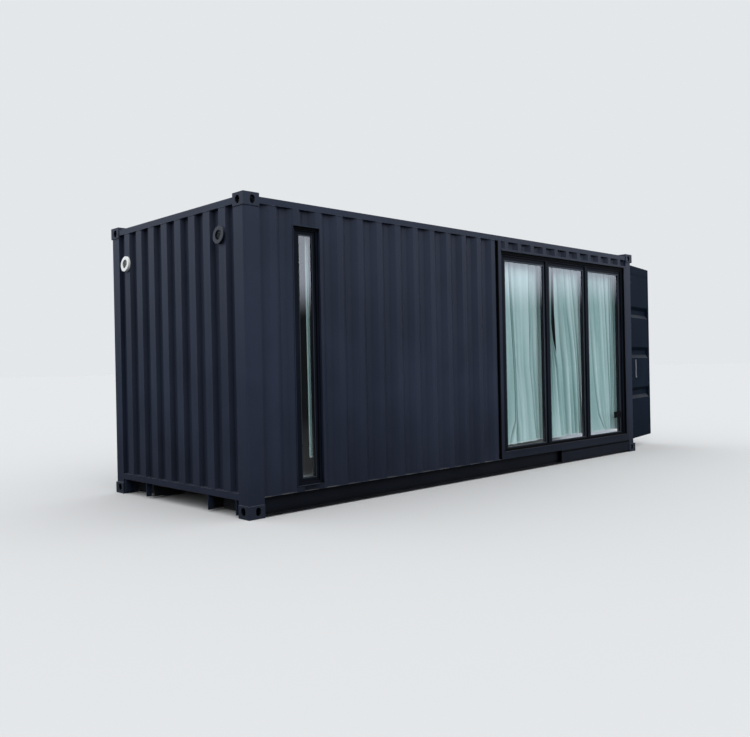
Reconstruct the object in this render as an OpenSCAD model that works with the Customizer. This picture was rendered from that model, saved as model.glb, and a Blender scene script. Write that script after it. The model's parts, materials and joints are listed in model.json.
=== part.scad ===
// Cabin made from a cut-down high-cube shipping container.
// Units are millimetres. X runs along the length with the cargo doors at +X, the glazed long side
// faces -Y, Z is up, and the origin is the centre of the footprint on the ground.

/* [Shell] */
// Overall length over the corner castings
length = 7100; // [6600:10:8200]
// Overall width over the corner castings
width = 2438; // [2400:1:2500]
// Overall height over the corner castings
height = 2896; // [2860:1:3000]
// How far rails, posts and walls stand back from the faces of the castings
set_in = 6; // [5:1:8]
// Thickness of the corrugated wall and roof sheet
sheet_t = 2; // [1.6:0.1:4]

/* [Corner castings] */
// Length of a casting along the cabin
casting_l = 178; // [176:1:184]
// Width of a casting across the cabin
casting_w = 162; // [160:1:170]
// Height of a casting
casting_h = 118; // [116:1:124]
// Thickness of a casting's top and bottom plates
casting_plate = 28; // [22:1:32]
// Thickness of a casting's side walls
casting_wall = 14; // [10:1:18]
// Length of the twistlock slot
slot_l = 124; // [118:1:128]
// Width of the twistlock slot
slot_w = 63.5; // [60:0.5:68]
// Distance from the end face to the slot's centre
slot_from_end = 101.5; // [96:0.5:106]
// Distance from the side face to the slot's centre
slot_from_side = 89; // [86:1:92]
// Height of the lashing hole in a casting's end and side
lash_h = 79; // [70:1:84]
// Width of the lashing hole in a casting's side
lash_side_w = 54; // [44:1:60]
// Width of the lashing hole in a casting's end
lash_end_w = 64; // [50:1:68]

/* [Posts and rails] */
// Plate thickness of the corner posts
post_t = 6; // [4:1:10]
// Return flange of the corner posts
post_return = 54; // [52:1:70]
// Radius of a front post's outer corner
post_round = 20; // [12:1:30]
// Side of the square top rails and of the front sill
rail_s = 60; // [50:1:70]
// Wall of the square rails
rail_t = 3; // [2:0.5:6]
// Distance from the top of the castings to the top of the top rails
top_drop = 33; // [20:1:38]
// Height of the bottom side rails
side_rail_h = 162; // [150:1:180]
// Depth of the bottom side rails
side_rail_d = 48; // [40:1:56]
// Plate thickness of the bottom side rails
side_rail_t = 5; // [4:0.5:8]
// Clearance under the bottom rails and the floor frame
under_gap = 20; // [15:1:30]
// Distance along the near rail from the front end to the flush plate
flush_plate_from = 5090; // [4000:10:5800]
// Height of the underside of the front sill
front_sill_z = 160; // [150:1:175]
// Height of the top of the rear sill
rear_sill_top = 150; // [140:1:156]
// Distance from the top of the castings down to the underside of the rear header
rear_header_drop = 116; // [106:1:118]

/* [Walls] */
// Pitch of the side walls' corrugation
side_pitch = 278; // [250:1:300]
// Flat of a crest and of a trough in a side wall
side_flat = 71; // [60:1:80]
// Depth of the side walls' corrugation
side_depth = 36; // [25:1:40]
// Distance from the front end to the middle of the first trough
first_trough = 467; // [440:1:500]
// Pitch of the front wall's corrugation
front_pitch = 252; // [240:1:262]
// Flat of a crest in the front wall
front_crest = 110; // [96:1:120]
// Run of one slope in the front wall
front_slope = 18; // [14:1:30]
// Depth of the front wall's corrugation
front_depth = 45; // [30:1:50]

/* [Roof] */
// Pitch of the roof's pressed pans
pan_pitch = 209; // [190:1:240]
// Width of a pan at the top
pan_w = 118; // [90:1:140]
// Run of a pan's slopes
pan_slope = 14; // [8:1:24]
// Depth of a pan
pan_depth = 20; // [12:1:24]
// Plain margin along the sides of the roof
roof_margin = 110; // [90:1:160]

/* [Floor] */
// Height of the cross members
joist_h = 122; // [110:1:126]
// Flange width of the cross members
joist_w = 40; // [35:1:50]
// Plate thickness of the cross members
joist_t = 4; // [3:0.5:6]
// Spacing of the cross members
joist_pitch = 310; // [290:5:340]
// Thickness of the plywood deck
deck_t = 28; // [22:1:32]
// Height of the raised floor's surface above the ground
floor_top = 300; // [260:5:320]
// Clear width of the gooseneck tunnel
tunnel_w = 1030; // [1000:5:1060]
// Length of the gooseneck tunnel's beams
tunnel_l = 3150; // [2900:10:3300]
// Width of a tunnel beam
tunnel_beam_w = 60; // [50:1:80]

/* [Lining] */
// Thickness of the insulated wall lining
lining_t = 60; // [45:1:80]
// Distance from the top of the castings down to the ceiling
ceiling_drop = 153; // [148:1:160]

/* [Narrow window] */
// Distance from the front end to the window's opening
win_from = 562; // [520:1:620]
// Width of the opening
win_w = 340; // [300:1:400]
// Height of the opening's bottom edge
win_z0 = 227; // [215:1:260]
// Distance from the top of the castings down to the opening's top edge
win_drop = 239; // [216:1:480]
// Thickness of the steel surround
surround_t = 8; // [5:1:12]
// How far the steel surrounds stand proud of the wall
surround_proud = 3; // [1:0.5:5]
// Face width of the window frame
win_frame = 45; // [38:1:52]
// Face width of the window sash
win_sash = 43; // [36:1:50]

/* [Glazing] */
// Distance from the front end to the glazing's steel post
glz_from = 3770; // [3600:10:4000]
// Face width of the steel posts
glz_post = 60; // [50:1:70]
// Height of the steel bar under the glazing
glz_sill = 63; // [50:1:70]
// Distance from the top of the castings down to the underside of the bar over the glazing
glz_drop = 206; // [196:1:390]
// Height of that steel bar
glz_head = 26; // [20:1:36]
// Face width of the frame at the sides
glz_frame_side = 105; // [90:1:115]
// Face width of the frame at the top and bottom
glz_frame_end = 102; // [90:1:112]
// Width of a mullion
mullion_w = 112; // [90:1:124]
// Depth of the aluminium frames
frame_d = 70; // [60:1:76]
// How far the frames stand back from the wall's face
frame_back = 24; // [18:1:30]
// How far beads and sashes stand back from the frame's face
bead_back = 12; // [8:1:16]
// Thickness of a sealed pane
pane_t = 24; // [20:1:28]
// Width of the lock case inside the last pane
lock_w = 172; // [120:1:180]
// Height of the lock case
lock_h = 91; // [70:1:110]
// Height of the lock case above the pane's bottom edge
lock_up = 166; // [100:2:300]

/* [Curtains] */
// Distance from the lining to the middle of the curtain track
track_from = 50; // [45:1:90]
// Height of the curtains' hems above the ground
hem_z = 360; // [330:5:420]
// Height of the window curtain's hem above the ground
window_hem_z = 470; // [400:5:520]
// Thickness of a curtain's solid
curtain_t = 8; // [6:1:12]
// Half depth of a curtain's folds
fold = 26; // [15:1:32]
// Width of one fold
fold_pitch = 108; // [90:2:130]
// Width of one fold of the window curtain
window_fold = 50; // [40:2:60]
// Distance from the glazing's left post to the first curtain
curtain_1_from = 140; // [110:5:200]
// Width that the first curtain covers
curtain_1_w = 960; // [700:5:1000]
// Distance from the glazing's left post to the second curtain
curtain_2_from = 1210; // [1180:5:1300]
// Width that the second curtain covers
curtain_2_w = 880; // [600:5:900]
// Distance from the third curtain to the glazing's right post
curtain_3_to = 14; // [10:2:60]
// Width that the third curtain covers
curtain_3_w = 828; // [600:4:860]
// Distance from the window curtain to the window's right edge
window_curtain_to = 14; // [14:1:60]
// Width that the window curtain covers
window_curtain_w = 70; // [40:5:200]

/* [Vents] */
// Number of the end wall's pitches from the cabin's middle to the pale vent
pale_vent_pitches = 3.56; // [2.5:0.01:3.6]
// Number of the end wall's pitches from the cabin's middle to the dark vent
dark_vent_pitches = 3.38; // [2.4:0.01:3.6]
// Distance from the top of the castings down to the pale vent's middle
pale_vent_drop = 416; // [300:4:596]
// Distance from the top of the castings down to the dark vent's middle
dark_vent_drop = 342; // [300:2:596]
// Outer radius of a vent
vent_r = 82; // [70:1:92]
// Radius of a vent's mouth
vent_mouth_r = 46; // [36:1:52]
// How far the middle of a vent's front stands out
vent_out = 24; // [20:1:30]
// Slant of a vent's front, which leans out at the bottom
vent_slant = 6; // [0:1:7]
// Depth of the louvre behind the middle of a vent's front
louvre_depth = 9; // [8:1:14]
// Number of louvre slats
slats = 5; // [3:2:7]
// Thickness of a louvre slat
slat_t = 3; // [2:0.5:4]

/* [Cargo doors] */
// Angle of the near leaf from shut
leaf_open = 79.5; // [0:0.5:190]
// Height of a leaf's bottom edge
leaf_z0 = 160; // [158:1:170]
// Distance from the top of the castings down to a leaf's top edge
leaf_drop = 124; // [124:1:190]
// Thickness of a leaf
leaf_t = 50; // [44:1:54]
// Face width of a leaf's upright bar at the hinges
leaf_bar = 100; // [80:1:120]
// Face width of a leaf's upright bar at the free edge
leaf_free_bar = 62; // [50:1:90]
// Face width of a leaf's top and bottom bars
leaf_rail = 120; // [100:1:150]
// Gap from the cabin's middle to each leaf
leaf_mid_gap = 5; // [5:0.5:8]
// Depth of the pressed bands in a leaf
band_depth = 36; // [25:1:40]
// Height of a pressed band at the leaf's face
band_h = 170; // [140:5:200]
// Height of the lowest band's middle above the leaf's bottom edge
band_first = 682; // [600:2:760]
// Distance from the highest band's middle up to the leaf's top edge
band_last = 700; // [620:2:760]
// Number of pressed bands in a leaf
bands = 3; // [2:1:4]
// Pin's distance from the rear end
pin_from_end = 24; // [22:1:28]
// Pin's distance from the cabin's side
pin_from_side = 35; // [33:1:38]
// Pin's radius
pin_r = 10; // [8:0.5:12]
// Clearance between a pin and its knuckle
pin_clear = 0.3; // [0.2:0.05:0.5]
// Distance from the pin to the leaf's outer face
leaf_back = 48; // [46:1:52]
// Distance from the pin to the leaf's hinge edge
leaf_edge = 35; // [32:1:40]
// Height of a hinge knuckle
knuckle_h = 70; // [60:1:90]
// Number of hinges on a leaf
hinges = 4; // [3:1:5]
// Distance from a leaf's end to the middle of its first hinge
hinge_from_end = 240; // [200:5:300]

/* [Hidden] */
$fn = 48;

steel = "#343a42";
steel_dark = "#2a2f36";
frame_colour = "#2b2e33";
board = "#d9d4c8";
timber = "#a9825a";
cloth = "#dfeae2";

hl = length / 2;
hw = width / 2;
side_y = hw - set_in;
front_x = -hl + set_in;
post_x = hl - casting_l;
post_y = hw - casting_w;
rail_top = height - top_drop;
rail_z = rail_top - rail_s;
rear_header_z = height - rear_header_drop;
ceiling_z = height - ceiling_drop;
side_rail_top = under_gap + side_rail_h;
web_y = side_y - side_rail_d;
wall_in = side_y - side_depth - sheet_t;
front_sill_top = front_sill_z + rail_s;
joist_top = under_gap + joist_h;
deck_top = joist_top + deck_t;
lining_in = wall_in - lining_t;
front_sill_x = front_x + rail_s;
seal_u = pin_from_end + leaf_back + leaf_t + 14;
gasket_t = 8;
win_x0 = -hl + win_from;
win_x1 = win_x0 + win_w;
win_z1 = height - win_drop;
glz_x0 = -hl + glz_from;
glz_in0 = glz_x0 + glz_post;
glz_in1 = post_x - glz_post;
glz_z0 = side_rail_top + glz_sill;
glz_head_z = height - glz_drop;
frame_y = side_y - frame_back;
pane_w = (glz_in1 - glz_in0 - 2 * glz_frame_side - 2 * mullion_w) / 3;
pane_z0 = glz_z0 + glz_frame_end;
pane_z1 = glz_head_z - glz_frame_end;
pane_y = frame_y - frame_d / 2 + pane_t / 2;
track_y = lining_in - track_from;
track_z = ceiling_z - 22;
pin_x = hl - pin_from_end;
pin_y = hw - pin_from_side;
leaf_w = pin_y - leaf_edge - leaf_mid_gap;
leaf_z1 = height - leaf_drop;
leaf_h = leaf_z1 - leaf_z0;
band_pitch = (leaf_h - band_first - band_last) / (bands - 1);
knuckle_r = pin_r + 6;
lug_t = 10;
lug_clear = 3;
strap_t = 10;
hinge_first = leaf_z0 + hinge_from_end;
hinge_pitch = (leaf_h - 2 * hinge_from_end) / (hinges - 1);
tunnel_end = front_sill_x + tunnel_l;

// Everything that both long sides carry alike
module both_sides() {
    children();
    mirror([0, 1, 0]) children();
}

// A box given by its two corners
module block(a, b) {
    translate(a) cube(b - a);
}

// A hollow square bar along X, centred on nothing: a and b are its two corners
module hollow_x(a, b, t) {
    difference() {
        block(a, b);
        block([a.x - 1, a.y + t, a.z + t], [b.x + 1, b.y - t, b.z - t]);
    }
}

// The same along Y
module hollow_y(a, b, t) {
    difference() {
        block(a, b);
        block([a.x + t, a.y - 1, a.z + t], [b.x - t, b.y + 1, b.z - t]);
    }
}

// Depth of a corrugation at s, for a trough in the middle of the pitch that starts at s0
function wave(s, s0, pitch, trough, slope, depth) =
    let (q = (s - s0) / pitch, d = abs(q - floor(q) - 0.5) * pitch)
    d <= trough / 2 ? depth
    : d >= trough / 2 + slope ? 0
    : depth * (1 - (d - trough / 2) / slope);

// The places from a to b where a corrugation bends, with both ends
function bends(a, b, s0, pitch, trough, slope) = concat(
    [a],
    [for (k = [floor((a - s0) / pitch) : ceil((b - s0) / pitch)])
        for (d = [-trough / 2 - slope, -trough / 2, trough / 2, trough / 2 + slope])
            let (s = s0 + (k + 0.5) * pitch + d) if (s > a + 0.01 && s < b - 0.01) s],
    [b]
);

// A corrugated sheet's outline from a to b: the crest is at 0 and the troughs go to -depth
module wave_outline(a, b, s0, pitch, trough, slope, depth) {
    stops = bends(a, b, s0, pitch, trough, slope);
    last = len(stops) - 1;
    polygon(concat(
        [for (s = stops) [s, -wave(s, s0, pitch, trough, slope, depth)]],
        [for (i = [last : -1 : 0])
            [stops[i], -wave(stops[i], s0, pitch, trough, slope, depth) - sheet_t]]
    ));
}

// A piece of the far side wall from x0 to x1 and z0 to z1
module side_sheet(x0, x1, z0, z1) {
    slope = side_pitch / 2 - side_flat;
    translate([0, side_y, z0]) linear_extrude(z1 - z0)
        wave_outline(x0, x1, -hl + first_trough - side_pitch / 2, side_pitch, side_flat, slope, side_depth);
}

// A rounded slot through a plate, along Z
module slot(l, w, t) {
    linear_extrude(t) {
        square([l - w, w], center = true);
        for (s = [-1, 1]) translate([s * (l - w) / 2, 0]) circle(d = w);
    }
}

// One corner casting with its outer corner at the origin and its slot in the top plate
module casting() {
    difference() {
        cube([casting_l, casting_w, casting_h]);
        block([casting_wall, casting_wall, casting_wall],
            [casting_l - casting_wall, casting_w - casting_wall, casting_h - casting_plate]);
        translate([slot_from_end, slot_from_side, casting_h - casting_plate - 1])
            slot(slot_l, slot_w, casting_plate + 2);
        translate([slot_from_end, -1, casting_h / 2 - 5])
            rotate([0, -90, -90]) slot(lash_h, lash_side_w, casting_wall + 2);
        translate([-1, slot_from_side, casting_h / 2 - 5])
            rotate([0, -90, 180]) slot(lash_h, lash_end_w, casting_wall + 2);
    }
}

// Four castings with their slots up, the lowest face at height z
module four_castings(z) {
    for (sx = [0, 1], sy = [0, 1])
        mirror([sx, 0, 0]) mirror([0, sy, 0]) translate([-hl, -hw, z]) casting();
}

module bottom_castings() {
    color(steel_dark) mirror([0, 0, 1]) four_castings(-casting_h);
}

module top_castings() {
    color(steel_dark) four_castings(height - casting_h);
}

// A front post's plan, with u from the end face and v from the side face
module front_post_plan() {
    a = set_in;
    difference() {
        union() {
            translate([a + post_round, a]) square([casting_l - a - post_round, casting_w - a]);
            translate([a, a + post_round]) square([casting_l - a, casting_w - a - post_round]);
            translate([a + post_round, a + post_round]) circle(post_round);
        }
        r = post_round - post_t;
        translate([a + post_t, a + post_round])
            square([casting_l - a - 2 * post_t, casting_w - a - post_t - post_round]);
        translate([a + post_round, a + post_t])
            square([casting_l - a - post_t - post_round, casting_w - a - 2 * post_t]);
        translate([a + post_round, a + post_round]) circle(r);
        translate([a + post_return, a + post_return]) square([casting_l, casting_w]);
    }
}

module front_posts() {
    color(steel) both_sides() translate([-hl, -hw, casting_h])
        linear_extrude(height - 2 * casting_h) front_post_plan();
}

// A rear post's plan: the side plate, the hinge recess and the face that the gasket meets
module rear_post_plan() {
    a = set_in;
    step_u = pin_from_end + leaf_back + 8;
    step_v = pin_from_side + 18;
    translate([pin_from_end + 22, a]) square([casting_l - pin_from_end - 22, post_t]);
    translate([casting_l - post_t, a]) square([post_t, post_return]);
    translate([step_u, a]) square([post_t, step_v + post_t - a]);
    translate([step_u, step_v]) square([seal_u + post_t - step_u, post_t]);
    translate([seal_u, step_v]) square([post_t, casting_w - step_v]);
    translate([seal_u, casting_w - post_t]) square([casting_l - seal_u, post_t]);
}

// The height of hinge number i
function hinge_z(i) = hinge_first + i * hinge_pitch;

// The lugs and pins of one leaf, for the side at -Y
module hinge_lugs() {
    half = knuckle_h / 2 + lug_clear;
    step_u = pin_from_end + leaf_back + 8;
    for (i = [0 : hinges - 1]) {
        for (s = [-1, 1])
            translate([0, 0, hinge_z(i) + s * (half + lug_t / 2)])
                translate([hl - step_u, -hw + set_in + post_t, -lug_t / 2])
                    cube([step_u - pin_from_end + 14, pin_from_side - set_in - post_t + 15, lug_t]);
        translate([pin_x, -pin_y, hinge_z(i) - half]) cylinder(h = 2 * half, r = pin_r);
    }
}

module rear_posts() {
    color(steel) both_sides() {
        translate([hl, -hw, casting_h]) mirror([1, 0, 0])
            linear_extrude(height - 2 * casting_h) rear_post_plan();
        hinge_lugs();
    }
}

module top_side_rails() {
    color(steel) both_sides()
        hollow_x([-post_x, -side_y, rail_z], [post_x, -side_y + rail_s, rail_top], rail_t);
}

module bottom_side_rails() {
    t = side_rail_t;
    color(steel) {
        both_sides() difference() {
            block([-post_x, -side_y, under_gap], [post_x, -web_y, side_rail_top]);
            block([-post_x - 1, -side_y - 1, under_gap + t], [post_x + 1, -web_y - t, side_rail_top - t]);
        }
        block([-hl + flush_plate_from, -side_y, under_gap + t], [post_x, -side_y + t, side_rail_top - t]);
    }
}

// The front header with the plate that closes the roof between the castings
module front_header() {
    color(steel) {
        hollow_y([front_x, -post_y, rail_z], [front_x + rail_s, post_y, rail_top], rail_t);
        block([front_x + 4, -post_y, rail_top], [-post_x, post_y, rail_top + sheet_t]);
    }
}

module front_sill() {
    y_in = tunnel_w / 2 + tunnel_beam_w;
    color(steel) {
        hollow_y([front_x, -post_y, front_sill_z], [front_sill_x, post_y, front_sill_top], rail_t);
        both_sides() for (y = [-y_in, -post_y + 37])
            block([front_x, y, under_gap], [front_sill_x, y + 10, front_sill_z]);
    }
}

module rear_header() {
    color(steel) {
        hollow_y([post_x, -post_y, rear_header_z], [hl - 20, post_y, rail_top], 4);
        hollow_y([post_x, -post_y, leaf_z1 - 25], [hl - seal_u, post_y, rear_header_z], 4);
        block([post_x, -post_y, rail_top], [hl - 24, post_y, rail_top + sheet_t]);
    }
}

module rear_sill() {
    color(steel) {
        hollow_y([post_x, -post_y, under_gap], [hl - 20, post_y, rear_sill_top], 5);
        hollow_y([post_x, -post_y, rear_sill_top], [hl - seal_u, post_y, leaf_z0 + 25], 5);
    }
}

// A C-shaped joist along Y from y0 to y1, its back at x
module joist(x, y0, y1) {
    difference() {
        block([x, y0, under_gap], [x + joist_w, y1, joist_top]);
        block([x + joist_t, y0 - 1, under_gap + joist_t], [x + joist_w + 1, y1 + 1, joist_top - joist_t]);
    }
}

module joists() {
    color(steel_dark) {
        for (x = [tunnel_end : joist_pitch : post_x - joist_w - 1]) joist(x, -web_y, web_y);
        both_sides() for (x = [-post_x : joist_pitch : tunnel_end - joist_w - 1])
            joist(x, -web_y, -tunnel_w / 2 - tunnel_beam_w);
    }
}

// Two channels with a plate between them, open at the front end
module gooseneck_tunnel() {
    y = tunnel_w / 2;
    color(steel_dark) {
        both_sides() difference() {
            block([front_sill_x, -y - tunnel_beam_w, under_gap], [tunnel_end, -y, joist_top]);
            block([front_sill_x - 1, -y - tunnel_beam_w - 1, under_gap + joist_t],
                [tunnel_end + 1, -y - joist_t, joist_top - joist_t]);
        }
        block([front_sill_x, -y, joist_top - joist_t], [tunnel_end, y, joist_top]);
    }
}

module deck() {
    color(timber) {
        block([-post_x, -web_y, joist_top], [post_x, web_y, deck_top]);
        block([front_sill_x, -post_y, joist_top], [-post_x, post_y, deck_top]);
    }
}

module raised_floor() {
    color(timber) block([-post_x, -lining_in, deck_top], [post_x, lining_in, floor_top]);
}

module front_wall() {
    trough = front_pitch - front_crest - 2 * front_slope;
    color(steel) translate([front_x, 0, front_sill_top]) rotate([0, 0, 90])
        linear_extrude(rail_z - front_sill_top)
            wave_outline(-post_y, post_y, -front_pitch / 2, front_pitch, trough, front_slope, front_depth);
}

module far_wall() {
    color(steel) side_sheet(-post_x, post_x, side_rail_top, rail_z);
}

module near_wall_panels() {
    color(steel) mirror([0, 1, 0]) {
        side_sheet(-post_x, win_x0, side_rail_top, rail_z);
        side_sheet(win_x1, glz_x0, side_rail_top, rail_z);
    }
}

module near_wall_strips() {
    color(steel) mirror([0, 1, 0]) {
        side_sheet(win_x0, win_x1, side_rail_top, win_z0);
        side_sheet(win_x0, win_x1, win_z1, rail_z);
        side_sheet(glz_in0, post_x, glz_head_z + glz_head, rail_z);
    }
}

// The roof's pans, widened by nothing, as one solid from z upwards
module pans(z, rise) {
    count = floor((2 * post_x - 30) / pan_pitch);
    start = -count * pan_pitch / 2 + (pan_pitch - pan_w) / 2;
    y0 = side_y - roof_margin;
    intersection() {
        translate([0, hw, z]) rotate([90, 0, 0]) linear_extrude(width)
            for (i = [0 : count - 1]) translate([start + i * pan_pitch, 0])
                polygon([[0, rise], [pan_w, rise], [pan_w, 0], [pan_w - pan_slope, -pan_depth],
                    [pan_slope, -pan_depth], [0, 0]]);
        translate([-hl, 0, z]) rotate([90, 0, 90]) linear_extrude(length)
            polygon([[-y0, rise], [y0, rise], [y0, 0], [y0 - pan_slope, -pan_depth],
                [-y0 + pan_slope, -pan_depth], [-y0, 0]]);
    }
}

module roof() {
    color(steel) difference() {
        union() {
            block([-post_x, -side_y + 4, rail_top], [post_x, side_y - 4, rail_top + sheet_t]);
            pans(rail_top, sheet_t / 2);
        }
        pans(rail_top + sheet_t, 5);
    }
}

module front_lining() {
    color(board) block([-post_x, -lining_in, floor_top], [-post_x + lining_t, lining_in, ceiling_z]);
}

module far_lining() {
    color(board) block([-post_x, lining_in, side_rail_top], [post_x, wall_in, ceiling_z]);
}

module near_lining_panels() {
    color(board) {
        block([-post_x, -wall_in, side_rail_top], [win_x0, -lining_in, ceiling_z]);
        block([win_x1, -wall_in, side_rail_top], [glz_in0, -lining_in, ceiling_z]);
        block([glz_in1, -wall_in, side_rail_top], [post_x, -lining_in, ceiling_z]);
    }
}

module near_lining_strips() {
    color(board) {
        block([win_x0, -wall_in, side_rail_top], [win_x1, -lining_in, win_z0]);
        block([win_x0, -wall_in, win_z1], [win_x1, -lining_in, ceiling_z]);
        block([glz_in0, -wall_in, side_rail_top], [glz_in1, -lining_in, glz_z0]);
        block([glz_in0, -wall_in, glz_head_z], [glz_in1, -lining_in, ceiling_z]);
    }
}

module ceiling() {
    color(board) block([-post_x, -wall_in, ceiling_z], [post_x, wall_in, rail_z]);
}

// A rectangular ring in the plane of the long wall: w and h outside, b1 at the sides, b2 at the ends
module wall_ring(x0, x1, z0, z1, y0, y1, b1, b2) {
    difference() {
        block([x0, y0, z0], [x1, y1, z1]);
        block([x0 + b1, y0 - 1, z0 + b2], [x1 - b1, y1 + 1, z1 - b2]);
    }
}

// The steel plates and bars that close the cut edges of the near wall
module opening_surrounds() {
    y0 = -side_y;
    y1 = -wall_in;
    color(steel) {
        wall_ring(win_x0, win_x1, win_z0, win_z1, y0 - surround_proud, -frame_y + 40, surround_t, surround_t);
        block([glz_x0, y0, side_rail_top], [glz_in0, y1, rail_z]);
        block([glz_in1, y0, side_rail_top], [post_x, y1, glz_head_z + glz_head]);
        block([glz_in0, y0 - surround_proud, glz_head_z], [post_x, y1, glz_head_z + glz_head]);
        block([glz_in0, y0, side_rail_top], [glz_in1, y1, glz_z0]);
    }
}

module window_frame() {
    s = surround_t;
    q = win_frame + win_sash;
    color(frame_colour) {
        wall_ring(win_x0 + s, win_x1 - s, win_z0 + s, win_z1 - s,
            -frame_y, -frame_y + frame_d, win_frame, win_frame);
        wall_ring(win_x0 + s, win_x1 - s, win_z0 + s, win_z1 - s,
            -frame_y + bead_back, -frame_y + frame_d - bead_back / 2, q, q);
    }
}

// The frame's raised rim is a little over half as wide as its face, and each mullion has a raised middle
module glazing_frame() {
    side = glz_frame_side * 0.55;
    end = glz_frame_end * 0.55;
    y0 = -frame_y + bead_back;
    y1 = -frame_y + frame_d;
    color(frame_colour) {
        wall_ring(glz_in0, glz_in1, glz_z0, glz_head_z, -frame_y, y1, side, end);
        wall_ring(glz_in0, glz_in1, glz_z0, glz_head_z, y0, y1, glz_frame_side, glz_frame_end);
        for (i = [1, 2]) {
            x = glz_in0 + glz_frame_side + i * pane_w + (i - 1) * mullion_w;
            block([x, y0, pane_z0 - end / 2], [x + mullion_w, y1, pane_z1 + end / 2]);
            block([x + mullion_w / 4, -frame_y, glz_z0 + end / 2],
                [x + mullion_w * 3 / 4, y1, glz_head_z - end / 2]);
        }
    }
}

module panes() {
    s = surround_t + win_frame + win_sash;
    color("lightblue", 0.35) {
        block([win_x0 + s, -pane_y, win_z0 + s], [win_x1 - s, -pane_y + pane_t, win_z1 - s]);
        for (i = [0, 1, 2]) {
            x = glz_in0 + glz_frame_side + i * (pane_w + mullion_w);
            block([x, -pane_y, pane_z0], [x + pane_w, -pane_y + pane_t, pane_z1]);
        }
    }
}

module glazing_lock() {
    x1 = glz_in1 - glz_frame_side;
    color("#17181a") block([x1 - lock_w, -pane_y - 14, pane_z0 + lock_up],
        [x1, -pane_y, pane_z0 + lock_up + lock_h]);
}

module curtain_track() {
    color("#e8e8e4") {
        block([glz_in0, -track_y - 15, track_z], [glz_in1, -track_y + 15, ceiling_z]);
        block([win_x0, -track_y - 15, track_z], [win_x1, -track_y + 15, ceiling_z]);
    }
}

// A hanging curtain from x0 to x1 with folds of about the given pitch
module curtain(x0, x1, z0, pitch) {
    n = round((x1 - x0) / pitch) * 8;
    function px(i) = x0 + (x1 - x0) * i / n;
    function py(i) = fold * sin(i * 45);
    color(cloth) translate([0, -track_y, z0]) linear_extrude(track_z - 0.3 - z0)
        polygon(concat(
            [for (i = [0 : n]) [px(i), py(i) - curtain_t / 2]],
            [for (i = [n : -1 : 0]) [px(i), py(i) + curtain_t / 2]]
        ));
}

module curtain_1() {
    curtain(glz_in0 + curtain_1_from, glz_in0 + curtain_1_from + curtain_1_w, hem_z, fold_pitch);
}

module curtain_2() {
    curtain(glz_in0 + curtain_2_from, glz_in0 + curtain_2_from + curtain_2_w, hem_z, fold_pitch);
}

module curtain_3() {
    curtain(glz_in1 - curtain_3_to - curtain_3_w, glz_in1 - curtain_3_to, hem_z, fold_pitch);
}

module window_curtain() {
    curtain(win_x1 - window_curtain_to - window_curtain_w, win_x1 - window_curtain_to,
        window_hem_z, window_fold);
}

// A round wall vent: a slanted ring with a louvre of slats across its mouth. Z points out of the
// wall and X up.
module vent() {
    slat_pitch = 2 * vent_mouth_r / (slats + 1);
    floor_z = 3;
    difference() {
        cylinder(h = vent_out * 2, r = vent_r);
        translate([0, 0, vent_out]) rotate([0, vent_slant, 0])
            translate([-2 * vent_r, -2 * vent_r, 0]) cube([4 * vent_r, 4 * vent_r, 2 * vent_out]);
        translate([0, 0, floor_z]) cylinder(h = vent_out * 2, r = vent_mouth_r);
    }
    intersection() {
        cylinder(h = vent_out, r = vent_mouth_r + 1);
        for (i = [1 : slats]) translate([i * slat_pitch - vent_mouth_r - slat_t / 2, 0, 0])
            block([0, -vent_mouth_r - 1, floor_z - 1],
                [slat_t, vent_mouth_r + 1, vent_out - louvre_depth]);
    }
}

module pale_vent() {
    color("#e9e9e6") translate([front_x, pale_vent_pitches * front_pitch, height - pale_vent_drop])
        rotate([0, -90, 0]) vent();
}

module dark_vent() {
    color(steel) translate([front_x, -dark_vent_pitches * front_pitch, height - dark_vent_drop])
        rotate([0, -90, 0]) vent();
}

// Places a leaf's pieces about its pin: x points to the rear, y across from the hinge
module near_leaf() {
    translate([pin_x, -pin_y, 0]) rotate([0, 0, -leaf_open]) children();
}

module far_leaf() {
    mirror([0, 1, 0]) translate([pin_x, -pin_y, 0]) children();
}

module leaf_frame() {
    difference() {
        block([-leaf_back - leaf_t, leaf_edge, leaf_z0], [-leaf_back, leaf_edge + leaf_w, leaf_z1]);
        block([-leaf_back - leaf_t - 1, leaf_edge + leaf_bar, leaf_z0 + leaf_rail],
            [-leaf_back + 1, leaf_edge + leaf_w - leaf_free_bar, leaf_z1 - leaf_rail]);
    }
}

// The pressed sheet: its bands run across the leaf, and above and below them it is flat
module leaf_panel() {
    line = concat(
        [[leaf_z0 + leaf_rail, 0]],
        [for (i = [0 : bands - 1], p = [[-0.5, 0], [-0.2, 1], [0.2, 1], [0.5, 0]])
            [leaf_z0 + band_first + i * band_pitch + p.x * band_h, p.y * band_depth]],
        [[leaf_z1 - leaf_rail, 0]]
    );
    last = len(line) - 1;
    translate([-leaf_back - 3, leaf_edge + leaf_w - leaf_free_bar, 0]) rotate([90, 0, 0])
        linear_extrude(leaf_w - leaf_bar - leaf_free_bar) polygon(concat(
            [for (p = line) [-p.y, p.x]],
            [for (i = [last : -1 : 0]) [-line[i].y - sheet_t, line[i].x]]
        ));
}

// The straps and knuckles that the leaf hangs on
module leaf_hinges() {
    for (i = [0 : hinges - 1]) translate([0, 0, hinge_z(i) - knuckle_h / 2]) difference() {
        union() {
            cylinder(h = knuckle_h, r = knuckle_r);
            block([-leaf_back, -10, 0], [0, 10, knuckle_h]);
            block([-leaf_back, -10, 0], [-leaf_back + strap_t, leaf_edge + leaf_bar + 20, knuckle_h]);
        }
        translate([0, 0, -1]) cylinder(h = knuckle_h + 2, r = pin_r + pin_clear);
    }
}

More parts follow.
